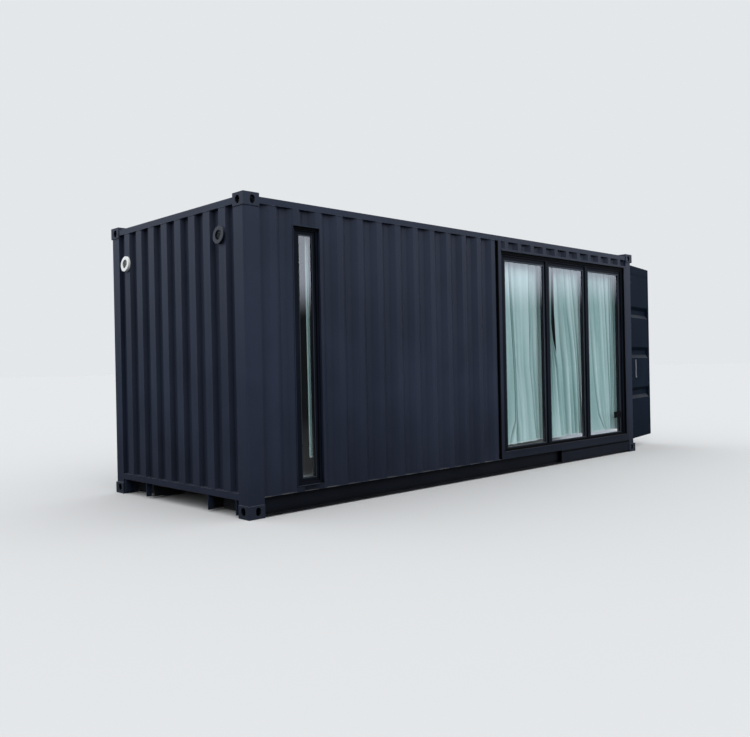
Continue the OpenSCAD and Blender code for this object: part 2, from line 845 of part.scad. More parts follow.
module leaf_gasket() {
    x0 = -leaf_back - leaf_t - gasket_t;
    e = leaf_edge + 10;
    difference() {
        block([x0, e, leaf_z0 + 6], [x0 + gasket_t, leaf_edge + leaf_w - 10, leaf_z1 - 6]);
        block([x0 - 1, e + 22, leaf_z0 + 28], [x0 + gasket_t + 1, leaf_edge + leaf_w - 32, leaf_z1 - 28]);
    }
}

module near_leaf_frame() {
    color(steel) near_leaf() leaf_frame();
}

module near_leaf_panel() {
    color(steel) near_leaf() leaf_panel();
}

module near_leaf_hinges() {
    color(steel_dark) near_leaf() leaf_hinges();
}

module near_leaf_gasket() {
    color("#141517") near_leaf() leaf_gasket();
}

module far_leaf_frame() {
    color(steel) far_leaf() leaf_frame();
}

module far_leaf_panel() {
    color(steel) far_leaf() leaf_panel();
}

module far_leaf_hinges() {
    color(steel_dark) far_leaf() leaf_hinges();
}

module far_leaf_gasket() {
    color("#141517") far_leaf() leaf_gasket();
}

bottom_castings();
top_castings();
front_posts();
rear_posts();
top_side_rails();
bottom_side_rails();
front_header();
front_sill();
rear_header();
rear_sill();
joists();
gooseneck_tunnel();
deck();
raised_floor();
front_wall();
far_wall();
near_wall_panels();
near_wall_strips();
roof();
front_lining();
far_lining();
near_lining_panels();
near_lining_strips();
ceiling();
opening_surrounds();
window_frame();
glazing_frame();
panes();
glazing_lock();
curtain_track();
curtain_1();
curtain_2();
curtain_3();
window_curtain();
pale_vent();
dark_vent();
near_leaf_frame();
near_leaf_panel();
near_leaf_hinges();
near_leaf_gasket();
far_leaf_frame();
far_leaf_panel();
far_leaf_hinges();
far_leaf_gasket();
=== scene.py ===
# %% [markdown]
# # A cabin made from a shipping container
# The CAD part gives every wall, post and frame in true size. This lesson adds what a camera sees:
# paint with its small unevenness, glass, hung cloth, seals, and a soft studio to look at it in.

# %% Load the CAD part as the fixed frame
import json
import math

import bpy
import numpy as np
from mathutils import Matrix, Vector


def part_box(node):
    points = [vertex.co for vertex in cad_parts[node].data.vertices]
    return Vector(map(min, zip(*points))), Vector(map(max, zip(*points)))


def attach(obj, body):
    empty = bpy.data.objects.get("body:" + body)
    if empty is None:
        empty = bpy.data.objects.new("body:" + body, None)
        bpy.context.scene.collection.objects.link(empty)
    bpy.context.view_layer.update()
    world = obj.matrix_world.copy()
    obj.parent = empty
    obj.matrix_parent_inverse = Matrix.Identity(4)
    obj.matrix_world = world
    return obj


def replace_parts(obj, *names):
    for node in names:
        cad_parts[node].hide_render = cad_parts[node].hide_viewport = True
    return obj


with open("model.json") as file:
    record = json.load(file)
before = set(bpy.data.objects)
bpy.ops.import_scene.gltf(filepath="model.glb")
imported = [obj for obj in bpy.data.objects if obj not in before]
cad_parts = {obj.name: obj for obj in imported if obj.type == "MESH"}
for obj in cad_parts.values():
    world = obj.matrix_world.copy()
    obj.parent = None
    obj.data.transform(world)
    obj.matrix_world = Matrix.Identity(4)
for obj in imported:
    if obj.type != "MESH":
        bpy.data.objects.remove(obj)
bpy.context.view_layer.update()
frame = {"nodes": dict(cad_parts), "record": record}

scene = bpy.context.scene
nodes = frame["nodes"]

# %% [markdown]
# ## Colour and node helpers
# A paint chart names colours as sRGB hex values, while shaders compute in linear light. One function
# turns one into the other. A second one adds a shader node with its settings, constants and links, and
# a few short ones stand for the nodes that come up most: arithmetic, mixes, smooth steps and noise.


# %% Helpers for colours and shader nodes
def linear(hex_colour):
    """An sRGB hex colour as linear RGBA."""
    raw = [int(hex_colour[i : i + 2], 16) / 255 for i in (1, 3, 5)]
    return [c / 12.92 if c <= 0.04045 else ((c + 0.055) / 1.055) ** 2.4 for c in raw] + [1.0]


def add(tree, kind, settings=None, **inputs):
    """Adds a node. settings are its attributes; an input is a constant or another node's socket."""
    node = tree.nodes.new("ShaderNode" + kind)
    for key, value in (settings or {}).items():
        setattr(node, key, value)
    for key, value in inputs.items():
        name = key.replace("_", " ")
        socket = node.inputs[int(key[1:])] if key[0] == "i" and key[1:].isdigit() else node.inputs[name]
        if isinstance(value, bpy.types.NodeSocket):
            tree.links.new(value, socket)
        else:
            socket.default_value = value
    return node


def new_material(name):
    """A material with an empty tree, and the output node to link a shader to."""
    material = bpy.data.materials.new(name)
    material.use_nodes = True
    material.node_tree.nodes.clear()
    return material, material.node_tree, add(material.node_tree, "OutputMaterial")


def ramp(tree, factor, low, high, a=(0, 0, 0, 1), b=(1, 1, 1, 1)):
    """A colour ramp from a to b between the two positions."""
    node = add(tree, "ValToRGB", Fac=factor)
    node.color_ramp.elements[0].position, node.color_ramp.elements[1].position = low, high
    node.color_ramp.elements[0].color, node.color_ramp.elements[1].color = a, b
    return node.outputs["Color"]


def calc(tree, operation, *values, clamp=False):
    """One step of arithmetic."""
    inputs = {f"i{k}": value for k, value in enumerate(values)}
    return add(tree, "Math", {"operation": operation, "use_clamp": clamp}, **inputs).outputs[0]


def mix(tree, factor, a, b, kind="MIX"):
    """Mixes two colours, or multiplies them."""
    return add(tree, "Mix", {"data_type": "RGBA", "blend_type": kind}, Factor=factor, i6=a, i7=b).outputs[2]


def smooth_step(tree, value, start, end, low, high):
    """Goes smoothly from low to high while the value goes from start to end."""
    return add(tree, "MapRange", {"interpolation_type": "SMOOTHSTEP"}, Value=value, From_Min=start,
               From_Max=end, To_Min=low, To_Max=high).outputs["Result"]


def occlusion(tree, samples, reach):
    """How open a point is to its own piece, from 0 to 1, looking as far as reach."""
    node = add(tree, "AmbientOcclusion", {"samples": samples, "only_local": True}, Distance=reach)
    return node.outputs["AO"]


def per_metre(size_mm):
    """The noise scale whose cells are about this many millimetres wide."""
    return 1000.0 / size_mm


def noise(tree, place, size_mm, detail):
    """Noise with cells of about this many millimetres."""
    return add(tree, "TexNoise", Vector=place, Scale=per_metre(size_mm), Detail=detail).outputs["Fac"]


print("Example: #808080 is linear", round(linear("#808080")[0], 3))

# %% [markdown]
# ## Painted steel
# Container paint is a satin coat, sprayed on thick sheet. Close up it has orange peel a few millimetres
# wide, from afar it has faint runs where rain washed it and a little dust where water dries. The bends of
# pressed sheet are round, so a bevel node turns the normals at every sharp edge of the CAD mesh. Troughs
# and recesses get painted shade: occlusion finds them and darkens the colour. The colour is also darker
# towards the bottom.
# All patterns have their scale in millimetres, so that they stay right on every piece.


# %% Painted steel
PATCH_MM, RUN_MM, RUN_STRETCH, RUN_SHARE = 700, 60, 0.04, 0.3
PALER, DEEPER, LIFT, ROUGH_SPREAD = 1.12, 0.88, 0.002, 0.08
DUST = linear("#8C8A84")
DARKENING_TOP = 1.2


def paint(name, colour, roughness=0.45, shine=0.18, dust=0.25, peel_mm=4.0, peel=0.06, streaks=0.5,
          edge_mm=3.0, recess_shade=1.0, reach=0.14, bottom_darkening=0.3):
    """Sprayed paint, with painted shade where occlusion finds it within reach metres, and darker near the
    ground.
    """
    material, tree, out = new_material(name)
    place = add(tree, "TexCoord").outputs["Object"]
    patches = noise(tree, place, PATCH_MM, 4.0)
    tall = add(tree, "Mapping", Vector=place, Scale=(1, 1, RUN_STRETCH)).outputs["Vector"]
    runs = noise(tree, tall, RUN_MM, 3.0)
    grain = noise(tree, place, peel_mm, 2.0)
    base = linear(colour)
    pale = [min(1.0, c * PALER + LIFT) for c in base[:3]] + [1.0]
    deep = [c * DEEPER for c in base[:3]] + [1.0]
    tone = ramp(tree, patches, 0.35, 0.65, deep, pale)
    run_share = calc(tree, "MULTIPLY", ramp(tree, runs, 0.55, 0.75), streaks * RUN_SHARE)
    washed = mix(tree, run_share, tone, deep)
    up = add(tree, "SeparateXYZ", Vector=add(tree, "NewGeometry").outputs["Normal"]).outputs["Z"]
    lying = calc(tree, "MULTIPLY", up, dust, clamp=True)
    patchy = calc(tree, "MULTIPLY", lying, ramp(tree, patches, 0.0, 0.8))
    dusty = mix(tree, patchy, washed, DUST)
    rough = calc(tree, "MULTIPLY_ADD", patches, 2 * ROUGH_SPREAD, roughness - ROUGH_SPREAD)
    # Painted shade: the colour darkens where occlusion finds troughs and recesses.
    recess_shading = calc(tree, "MULTIPLY_ADD", occlusion(tree, 6, reach), recess_shade, 1.0 - recess_shade, clamp=True)
    # The colour gets darker towards the bottom, below a set height.
    level = add(tree, "SeparateXYZ", Vector=place).outputs["Z"]
    bottom_factor = smooth_step(tree, level, 0.0, DARKENING_TOP, 1.0 - bottom_darkening, 1.0)
    dust_shade_and_low_dark = mix(tree, 1.0, dusty, calc(tree, "MULTIPLY", recess_shading, bottom_factor), "MULTIPLY")
    rounded = add(tree, "Bevel", {"samples": 4}, Radius=edge_mm / 1000).outputs["Normal"]
    bump = add(tree, "Bump", Height=grain, Strength=peel, Distance=0.001, Normal=rounded).outputs["Normal"]
    shader = add(tree, "BsdfPrincipled", Base_Color=dust_shade_and_low_dark, Roughness=rough, Specular_IOR_Level=shine,
                 Normal=bump)
    tree.links.new(shader.outputs["BSDF"], out.inputs["Surface"])
    return material


wall_paint = paint("satin_wall_paint", "#222939", shine=0.15, dust=0.22)
leaf_paint = paint("matt_leaf_paint", "#121D2A", roughness=0.7, shine=0.02)
trim_paint = paint("trim_paint", "#1F2635", shine=0.14, recess_shade=1.8, reach=0.2, bottom_darkening=0.5)
rail_paint = paint("rail_paint", "#191E2A", shine=0.1, recess_shade=2.4, reach=0.25, dust=0.8, bottom_darkening=0.45)
casting_paint = paint("casting_paint", "#222937", roughness=0.5, peel_mm=2.5, peel=0.25, dust=0.4, recess_shade=1.2)
underframe_paint = paint("underbody_coating", "#1B1D20", roughness=0.75, peel_mm=3.0, peel=0.4, dust=0.1)
window_coating = paint("window_powder_coat", "#0D121C", roughness=0.5, shine=0.05, peel_mm=0.8, peel=0.1,
                       dust=0.1, streaks=0.2, edge_mm=1.5, recess_shade=1.5, reach=0.09)
# The glazing bead's paler grey is partly its own coat and partly a painted highlight for the light its edge
# catches.
bead_coat_and_highlight = paint("glazing_bead_coat_and_highlight", "#30363F", roughness=0.4, peel_mm=0.8, peel=0.1, dust=0.3,
                     streaks=0.2, edge_mm=1.5, recess_shade=1.3, reach=0.03)
vent_plastic = paint("white_vent_plastic", "#DEDFDB", roughness=0.35, shine=0.4, dust=0.1, peel_mm=20.0,
                     peel=0.02, streaks=0.3, edge_mm=5.0, recess_shade=1.3, reach=0.04, bottom_darkening=0.0)
vent_coating = paint("dark_vent_coat", "#131823", roughness=0.4, shine=0.2, edge_mm=5.0, recess_shade=1.3,
                     reach=0.04)
print("Painted finishes:", [m.name for m in bpy.data.materials if "paint" in m.name or "coat" in m.name])

# %% [markdown]
# ## Glass
# A sealed double pane mirrors the sky from four faces and lets most light through. A true refracting
# solid would leave the room black, as path tracing finds few lamps through it. A clear shader mixed with
# a mirror by Fresnel's law gives the same look with little noise. The drawn slab has two faces in place
# of four, so its outer face mirrors for all: the mirror is shown where a ray comes from outside the slab,
# and the way out of the slab is plain clear. Light that falls in loses less than the view does, as what one
# face turns back another sends in again. The tint is the faint green of float glass.


# %% Window glass
FOUR_FACES_IOR, SENT_IN_AGAIN = 2.2, 0.7


def window_glass():
    material, tree, out = new_material("double_pane_glass")
    fresnel = add(tree, "Fresnel", IOR=FOUR_FACES_IOR).outputs["Fac"]
    front = calc(tree, "SUBTRACT", 1.0, add(tree, "NewGeometry").outputs["Backfacing"])
    rays = add(tree, "LightPath")
    inward = calc(tree, "MAXIMUM", rays.outputs["Is Diffuse Ray"], rays.outputs["Is Shadow Ray"])
    kept = calc(tree, "MULTIPLY_ADD", inward, -SENT_IN_AGAIN, 1.0)
    share = calc(tree, "MULTIPLY", calc(tree, "MULTIPLY", fresnel, front), kept)
    clear = add(tree, "BsdfTransparent", Color=linear("#FBFDFD")).outputs["BSDF"]
    mirror = add(tree, "BsdfAnisotropic", Color=(1, 1, 1, 1), Roughness=0.0).outputs["BSDF"]
    mixed = add(tree, "MixShader", Fac=share, i1=clear, i2=mirror).outputs["Shader"]
    tree.links.new(mixed, out.inputs["Surface"])
    return material


glass = window_glass()
print("Glass:", glass.name)

# %% [markdown]
# ## Small finishes
# Boards, rubber, cloth, plastic and metal each get a short recipe: a base colour, a pattern at its real
# size, and the roughness that a finger would feel. Floor boards are laid side by side, so each has its
# own tone and a dark joint. Lining boards meet every 1.2 m, and their dark grey paints the shade of the
# room. Thin cloth looks deeper in colour in a crease, where light has gone through it more than once, so
# occlusion mixes a darker crease colour in: painted shade. A broad soft pattern along the cloth paints
# shade on the folds that are too shallow to model.


# %% Boards, rubber, plastic, metal and cloth
JOINT_MM, JOINT_DARK, WEAVE_MM, FOLD_SHADE_MM, FOLD_SHADE_STRETCH = 3.0, 0.6, 2.0, 130, 0.05
CREASE_SHADE_REACH, THROUGH = 0.12, 0.12


def plain(name, colour, roughness, grain_mm=3.0, contrast=0.08, bump_strength=0.05, stretch=(1, 1, 1),
          joint_axis=None, joint_mm=0.0, metallic=0.0, shine=0.5):
    """An even finish with a fine grain. With a joint_axis, boards joint_mm wide lie side by side along it."""
    material, tree, out = new_material(name)
    place = add(tree, "TexCoord").outputs["Object"]
    mapped = add(tree, "Mapping", Vector=place, Scale=stretch).outputs["Vector"]
    grain = noise(tree, mapped, grain_mm, 4.0)
    base = linear(colour)
    low = [c * (1 - contrast) for c in base[:3]] + [1.0]
    high = [min(1.0, c * (1 + contrast)) for c in base[:3]] + [1.0]
    tone = ramp(tree, grain, 0.35, 0.65, low, high)
    if joint_axis:
        across = add(tree, "SeparateXYZ", Vector=place).outputs[joint_axis]
        board = calc(tree, "DIVIDE", across, joint_mm / 1000)
        number = calc(tree, "FLOOR", board)
        own = add(tree, "TexWhiteNoise", {"noise_dimensions": "1D"}, W=number).outputs["Value"]
        joint = calc(tree, "LESS_THAN", calc(tree, "FRACT", board), JOINT_MM / joint_mm)
        level = calc(tree, "MULTIPLY_ADD", own, contrast, 1 - contrast / 2)
        tone = mix(tree, 1.0, tone, calc(tree, "MULTIPLY_ADD", joint, -JOINT_DARK, level), "MULTIPLY")
    bump = add(tree, "Bump", Height=grain, Strength=bump_strength, Distance=0.001).outputs["Normal"]
    shader = add(tree, "BsdfPrincipled", Base_Color=tone, Roughness=roughness, Metallic=metallic,
                 Specular_IOR_Level=shine, Normal=bump)
    tree.links.new(shader.outputs["BSDF"], out.inputs["Surface"])
    return material


def curtain_cloth(name, light, lighter, fold, crease):
    """Thin cloth. Its patterns follow the UV map, in metres, and an eighth of the light goes through it."""
    material, tree, out = new_material(name)
    place = add(tree, "TexCoord").outputs["UV"]
    weave = noise(tree, place, WEAVE_MM, 1.0)
    # Painted shade: broad soft bands along the cloth mix in the fold colour.
    along = add(tree, "Mapping", Vector=place, Scale=(1, FOLD_SHADE_STRETCH, 1)).outputs["Vector"]
    fold_shade_bands = noise(tree, along, FOLD_SHADE_MM, 1.5)
    # Painted shade: occlusion mixes the darker crease colour into the creases.
    lit = add(tree, "MapRange", Value=occlusion(tree, 8, CREASE_SHADE_REACH), From_Min=0.15, From_Max=0.9)
    woven = ramp(tree, weave, 0.3, 0.7, linear(light), linear(lighter))
    shaded = mix(tree, ramp(tree, fold_shade_bands, 0.38, 0.58), linear(fold), woven)
    tone = mix(tree, lit.outputs["Result"], linear(crease), shaded)
    bump = add(tree, "Bump", Height=weave, Strength=0.1, Distance=0.0005).outputs["Normal"]
    front = add(tree, "BsdfDiffuse", Color=tone, Normal=bump).outputs["BSDF"]
    through = add(tree, "BsdfTranslucent", Color=tone, Normal=bump).outputs["BSDF"]
    mixed = add(tree, "MixShader", Fac=THROUGH, i1=front, i2=through).outputs["Shader"]
    tree.links.new(mixed, out.inputs["Surface"])
    return material


# The lining's dark grey paints the shade of a room that light reaches only through its windows.
lining_board = plain("dark_lining_board_as_room_shade", "#2C2E32", 0.7, joint_axis="X", joint_mm=1200.0, contrast=0.04,
                     shine=0.2)
floor_boards = plain("pale_oiled_floor_boards", "#8B8F90", 0.35, 8.0, 0.14, 0.05, (0.08, 1, 1), "Y", 190.0)
plywood = plain("edge_of_plywood", "#75563A", 0.7, 6.0, 0.25, 0.15, (0.1, 0.1, 1))
rubber = plain("black_rubber", "#050506", 0.65, 1.5, 0.1, 0.1, shine=0.04)
track_coating = plain("white_coated_track", "#E3E3DF", 0.4)
lock_plastic = plain("black_lock_plastic", "#08090A", 0.45, shine=0.05)
bare_metal = plain("bare_aluminium", "#C6C8CA", 0.38, 1.2, 0.06, 0.08, (1, 1, 0.1), metallic=1.0)
# The last two colours are painted shade: the fold colour of the broad bands and the darker crease colour.
cloth = curtain_cloth("light_curtain_cloth", "#D6EFEF", "#E2F8F7", "#B2D4D2", "#5C8B89")
hem_cloth = curtain_cloth("doubled_hem_cloth", "#E6F4F6", "#F0FAFB", "#D4E8E8", "#7FA9A8")
print("Materials so far:", len(bpy.data.materials))

# %% [markdown]
# ## Dress the CAD nodes
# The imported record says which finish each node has. One table turns those names into materials.

# %% Give every CAD node its finish
FINISH = {
    "wall_paint": wall_paint, "casting_paint": casting_paint, "underframe_paint": underframe_paint,
    "plywood": plywood, "floor_boards": floor_boards, "lining": lining_board,
    "window_profile": window_coating, "glazing": glass, "lock_plastic": lock_plastic,
    "track": track_coating, "curtain_cloth": cloth, "vent_plastic": vent_plastic, "gasket": rubber,
}
OWN_FINISH = {
    "bottom_side_rails": rail_paint, "dark_vent": vent_coating, "near_leaf_frame": leaf_paint,
    "near_leaf_panel": leaf_paint, "far_leaf_frame": leaf_paint, "far_leaf_panel": leaf_paint,
    "near_wall_strips": trim_paint, "opening_surrounds": trim_paint,
}
slot_of = {s["node"]: s["material_slot"] for s in frame["record"]["subparts"]}
for name, obj in nodes.items():
    obj.data.materials.clear()
    obj.data.materials.append(OWN_FINISH.get(name, FINISH[slot_of[name]]))
print("Dressed", len(nodes), "nodes with", len(set(slot_of.values())), "finishes")

# %% [markdown]
# ## Building small pieces
# Most added pieces are made from three things: boxes, dome-headed rivets and round beads along a line.
# Each one adds its vertices and faces to a list, and a list becomes one object. So a set of rivets or
# gaskets is one mesh. Every piece rides a CAD body, so that it moves with it.


# %% Mesh builders
class Pieces:
    """Collects vertices and faces, and becomes one object that rides a body."""

    def __init__(self):
        self.verts, self.faces = [], []

    def take(self, verts, faces):
        start = len(self.verts)
        self.verts += [tuple(v) for v in verts]
        self.faces += [tuple(start + i for i in f) for f in faces]

    def box(self, low, high, place=Matrix.Identity(4)):
        corners = [place @ Vector((x, y, z)) for x in (low[0], high[0]) for y in (low[1], high[1])
                   for z in (low[2], high[2])]
        self.take(corners, [(0, 1, 3, 2), (4, 6, 7, 5), (0, 4, 5, 1), (2, 3, 7, 6), (0, 2, 6, 4),
                            (1, 5, 7, 3)])

    def ring(self, x0, x1, z0, z1, y0, y1, width):
        """A flat rectangular ring in the plane of the long wall."""
        self.box((x0, y0, z0), (x0 + width, y1, z1))
        self.box((x1 - width, y0, z0), (x1, y1, z1))
        self.box((x0 + width, y0, z0), (x1 - width, y1, z0 + width))
        self.box((x0 + width, y0, z1 - width), (x1 - width, y1, z1))

    def dome(self, centre, out, radius, height, place=Matrix.Identity(4)):
        """A rivet head: rings of points that close at a tip."""
        turn = Vector(out).to_track_quat("Z", "Y").to_matrix().to_4x4()
        at = place @ Matrix.Translation(centre) @ turn
        steps = 12
        verts = []
        for share, lift in ((1.0, 0.0), (0.95, 0.45), (0.7, 0.85)):
            for i in range(steps):
                angle = 2 * math.pi * i / steps
                verts.append(at @ Vector((radius * share * math.cos(angle), radius * share * math.sin(angle),
                                          height * lift)))
        verts.append(at @ Vector((0, 0, height)))
        faces = []
        for start in (0, steps):
            for i in range(steps):
                j = (i + 1) % steps
                faces.append((start + i, start + j, start + steps + j, start + steps + i))
        faces += [(2 * steps + i, 2 * steps + (i + 1) % steps, 3 * steps) for i in range(steps)]
        self.take(verts, faces)

    def bead(self, points, radius, sides=6):
        """A round bead along a line of points."""
        points = [Vector(p) for p in points]
        verts, faces = [], []
        for k, p in enumerate(points):
            ahead = points[min(k + 1, len(points) - 1)] - points[max(k - 1, 0)]
            turn = ahead.to_track_quat("Z", "Y")
            for i in range(sides):
                angle = 2 * math.pi * i / sides
                verts.append(p + turn @ Vector((radius * math.cos(angle), radius * math.sin(angle), 0)))
        for k in range(len(points) - 1):
            for i in range(sides):
                j = (i + 1) % sides
                faces.append((k * sides + i, k * sides + j, (k + 1) * sides + j, (k + 1) * sides + i))
        self.take(verts, faces)

    def build(self, name, material, body="cabin", finish=None, smooth=False):
        mesh = bpy.data.meshes.new(name)
        mesh.from_pydata(self.verts, [], self.faces)
        mesh.update()
        for polygon in mesh.polygons:
            polygon.use_smooth = smooth
        obj = bpy.data.objects.new(name, mesh)
        scene.collection.objects.link(obj)
        obj.data.materials.append(material)
        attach(obj, body)
        print(f"{name}: {len(mesh.polygons)} faces on {body}")
        return obj


# %% [markdown]
# ## Weld beads
# The wall sheet is welded to the rails along its whole wavy edge. On the real shell that bead is what
# keeps the water out. The line is read from the CAD mesh: at the sheet's lower and upper edge, the
# outermost point at every bend is a point of the bead.


# %% Weld beads along the corrugated walls
def edge_line(name, axis, outward, level):
    """The outer points of a wall sheet's end at a height, sorted along the axis."""
    co = np.array([v.co for v in nodes[name].data.vertices])
    co = co[np.abs(co[:, 2] - level) < 1e-4]
    other = 1 - axis
    found = {}
    for point in co:
        key = round(float(point[axis]), 4)
        if key not in found or outward * point[other] > outward * found[key][other]:
            found[key] = point
    return [tuple(float(c) for c in found[key]) for key in sorted(found)]


def runs_of(points, axis, gap=0.3):
    """Splits a line of points where the wall has an opening."""
    runs, last = [[]], None
    for point in points:
        if last is not None and point[axis] - last > gap:
            runs.append([])
        runs[-1].append(point)
        last = point[axis]
    return [run for run in runs if len(run) > 1]


WALL_WELD, CASTING_WELD, WELD_LIFT = 0.0035, 0.006, 0.002
POST_INSET, POST_ROUND, LONG_BEAD, SHORT_BEAD = 0.008, 0.016, 0.160, 0.150
welds = Pieces()
for name, axis, outward in (("near_wall_panels", 0, -1), ("far_wall", 0, 1), ("front_wall", 1, -1)):
    low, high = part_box(name)
    for level, shift in ((low.z, WELD_LIFT), (high.z, -WELD_LIFT)):
        for run in runs_of(edge_line(name, axis, outward, level), axis):
            welds.bead([(x, y, z + shift) for x, y, z in run], WALL_WELD)
for name in ("bottom_castings", "top_castings"):
    low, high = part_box(name)
    level = high.z if name == "bottom_castings" else low.z
    for sx, sy in ((-1, -1), (-1, 1)):
        x, y = sx * (high.x - POST_INSET), sy * (high.y - POST_INSET)
        welds.bead([(x - sx * LONG_BEAD, y, level), (x - sx * POST_ROUND, y, level),
                    (x, y - sy * POST_ROUND, level), (x, y - sy * SHORT_BEAD, level)], CASTING_WELD)
welds.build("weld_beads", wall_paint, finish="wall_paint", smooth=True)

# %% [markdown]
# ## Rubber round the glass
# A pane is held between two rubber lips and a slim bead, and the frame is sealed to the steel with a
# dark joint. Those thin lines are what makes a pane look set in its frame rather than painted on.
# Black strips of painted shade lie where the frame sits back behind the steel: under its head, over its
# sill, at its sides, over the slit, in the wall's trough beside the surround and in the groove over the
# rail's flush plate.
# The glass reaches a little lower than in the CAD model, and that of the slit also further right. So the
# frames and panes are made again from their CAD meshes with a few levels changed, and the new pieces
# stand for those nodes.


# %% Pane lips, frame joints and painted shade strips
def islands(name):
    """The boxes of a node's separate solids, found by joining vertices that share a face."""
    mesh = nodes[name].data
    place = {}
    for v in mesh.vertices:
        place.setdefault(tuple(round(c, 5) for c in v.co), []).append(v.index)
    parent = list(range(len(mesh.vertices)))

    def top(i):
        while parent[i] != i:
            parent[i] = parent[parent[i]]
            i = parent[i]
        return i

    for same in place.values():
        for i in same[1:]:
            parent[top(i)] = top(same[0])
    for polygon in mesh.polygons:
        first = polygon.vertices[0]
        for i in polygon.vertices[1:]:
            parent[top(i)] = top(first)
    groups = {}
    for v in mesh.vertices:
        groups.setdefault(top(v.index), []).append(v.co)
    boxes = []
    for points in groups.values():
        co = np.array(points)
        boxes.append((Vector(co.min(0)), Vector(co.max(0))))
    return sorted(boxes, key=lambda b: b[0].x)


def with_levels(name, node, levels, places):
    """A node made again as a new piece, with some heights and places along x changed: {from: to}."""
    mesh = nodes[node].data.copy()
    mesh.name = name
    for v in mesh.vertices:
        v.co.z = levels.get(round(v.co.z, 3), v.co.z)
        v.co.x = places.get(round(v.co.x, 3), v.co.x)
    obj = bpy.data.objects.new(name, mesh)
    scene.collection.objects.link(obj)
    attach(obj, "cabin")
    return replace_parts(obj, node)


CAD_FOOT, CAD_SLIT_FOOT, CAD_SLIT_HEAD, CAD_SLIT_RIGHT = 0.347, 0.323, 2.561, -2.744
FOOT, SLIT_FOOT, SLIT_HEAD, SLIT_RIGHT = 0.300, 0.294, 2.580, -2.718
GLAZING_PROFILE = {0.301: 0.278}
SLIT_PROFILE, SLIT_PROFILE_RIGHT = {0.28: 0.262, 2.604: 2.616}, {-2.701: -2.684}
slim_frame = with_levels("slim_glazing_frame", "glazing_frame", {CAD_FOOT: FOOT, **GLAZING_PROFILE}, {})
slim_window = with_levels("slim_window_frame", "window_frame",
                          {CAD_SLIT_FOOT: SLIT_FOOT, CAD_SLIT_HEAD: SLIT_HEAD, **SLIT_PROFILE},
                          {CAD_SLIT_RIGHT: SLIT_RIGHT, **SLIT_PROFILE_RIGHT})
deep_panes = with_levels("deep_panes", "panes",
                         {CAD_FOOT: FOOT, CAD_SLIT_FOOT: SLIT_FOOT, CAD_SLIT_HEAD: SLIT_HEAD},
                         {CAD_SLIT_RIGHT: SLIT_RIGHT})
print("Frames and panes made again:", slim_frame.name, slim_window.name, deep_panes.name)

# Sizes in metres. A HAIR keeps two faces from lying in one plane.
LIP, LIP_THICK, JOINT, JOINT_OUT, JOINT_HALF = 0.006, 0.003, 0.005, 0.001, 0.002
# Most sizes on the next lines belong to black strips of painted shade; SILL_HEIGHT, SURROUND and
# FLUSH_PLATE_X are the real flashing, surround and plate.
HEAD_SHADE, LEFT_SHADE, RIGHT_SHADE, SLIT_HEAD_SHADE = 0.037, 0.020, 0.008, 0.022
SILL_HEIGHT, SILL_SHADE, SHADE_OUT, RIGHT_SHADE_OUT = 0.025, 0.025, 0.012, 0.026
SURROUND, TROUGH_SHADE, TROUGH_SHADE_DEEP, TROUGH_SHADE_FOOT, TROUGH_SHADE_HEAD = 0.060, 0.016, 0.030, 0.190, 2.795
FLUSH_PLATE_X, GROOVE_SHADE_FOOT, GROOVE_SHADE_HEAD, GROOVE_SHADE_OUT = 1.545, 0.150, 0.170, 0.0015
BEAD, SLIT_BEAD, BEAD_OUT, BEAD_IN = 0.015, 0.006, 0.012, 0.0035
HAIR, THIN = 0.0005, 0.0002

pane_boxes = []
for low, high in islands("panes"):
    if high.x < 0:
        pane_boxes.append((Vector((low.x, low.y, SLIT_FOOT)), Vector((SLIT_RIGHT, high.y, SLIT_HEAD))))
    else:
        pane_boxes.append((Vector((low.x, low.y, FOOT)), high))
print("Panes:", [(round(b[0].x, 3), round(b[1].x, 3)) for b in pane_boxes])

lips = Pieces()
for low, high in pane_boxes:
    lips.ring(low.x, high.x, low.z, high.z, low.y - LIP_THICK, low.y, LIP)
    lips.ring(low.x, high.x, low.z, high.z, high.y, high.y + LIP_THICK, LIP)
for name in ("window_frame", "glazing_frame"):
    low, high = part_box(name)
    lips.ring(low.x - JOINT_OUT, high.x + JOINT_OUT, low.z - JOINT_OUT, high.z + JOINT_OUT,
              low.y - JOINT_HALF, low.y + JOINT_HALF, JOINT)
low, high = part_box("glazing_frame")
slot_low, slot_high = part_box("window_frame")
wall_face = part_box("opening_surrounds")[0].y
rail_low, rail_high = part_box("bottom_side_rails")
back, face = low.y - HAIR, low.y - SHADE_OUT
sill = low.z + SILL_HEIGHT
edge = low.x - SURROUND
# Painted shade: black strips where the frame sits back in shadow behind the steel, and in the trough and
# groove beside it.
lips.box((low.x, face, high.z - HEAD_SHADE), (high.x, back, high.z))
lips.box((low.x, face, sill + JOINT_OUT), (high.x, back, sill + JOINT_OUT + SILL_SHADE))
lips.box((low.x, face, low.z), (low.x + LEFT_SHADE, back, high.z - HEAD_SHADE))
lips.box((high.x - RIGHT_SHADE, low.y - RIGHT_SHADE_OUT, low.z), (high.x, back, high.z))
lips.box((slot_low.x, face, slot_high.z - SLIT_HEAD_SHADE), (slot_high.x, back, slot_high.z))
lips.box((edge - TROUGH_SHADE, wall_face + JOINT_OUT, TROUGH_SHADE_FOOT), (edge - HAIR, wall_face + TROUGH_SHADE_DEEP, TROUGH_SHADE_HEAD))
lips.box((FLUSH_PLATE_X, rail_low.y - GROOVE_SHADE_OUT, GROOVE_SHADE_FOOT), (rail_high.x, rail_low.y - THIN, GROOVE_SHADE_HEAD))
lips.build("pane_lips_and_shade_strips", rubber, finish="gasket")

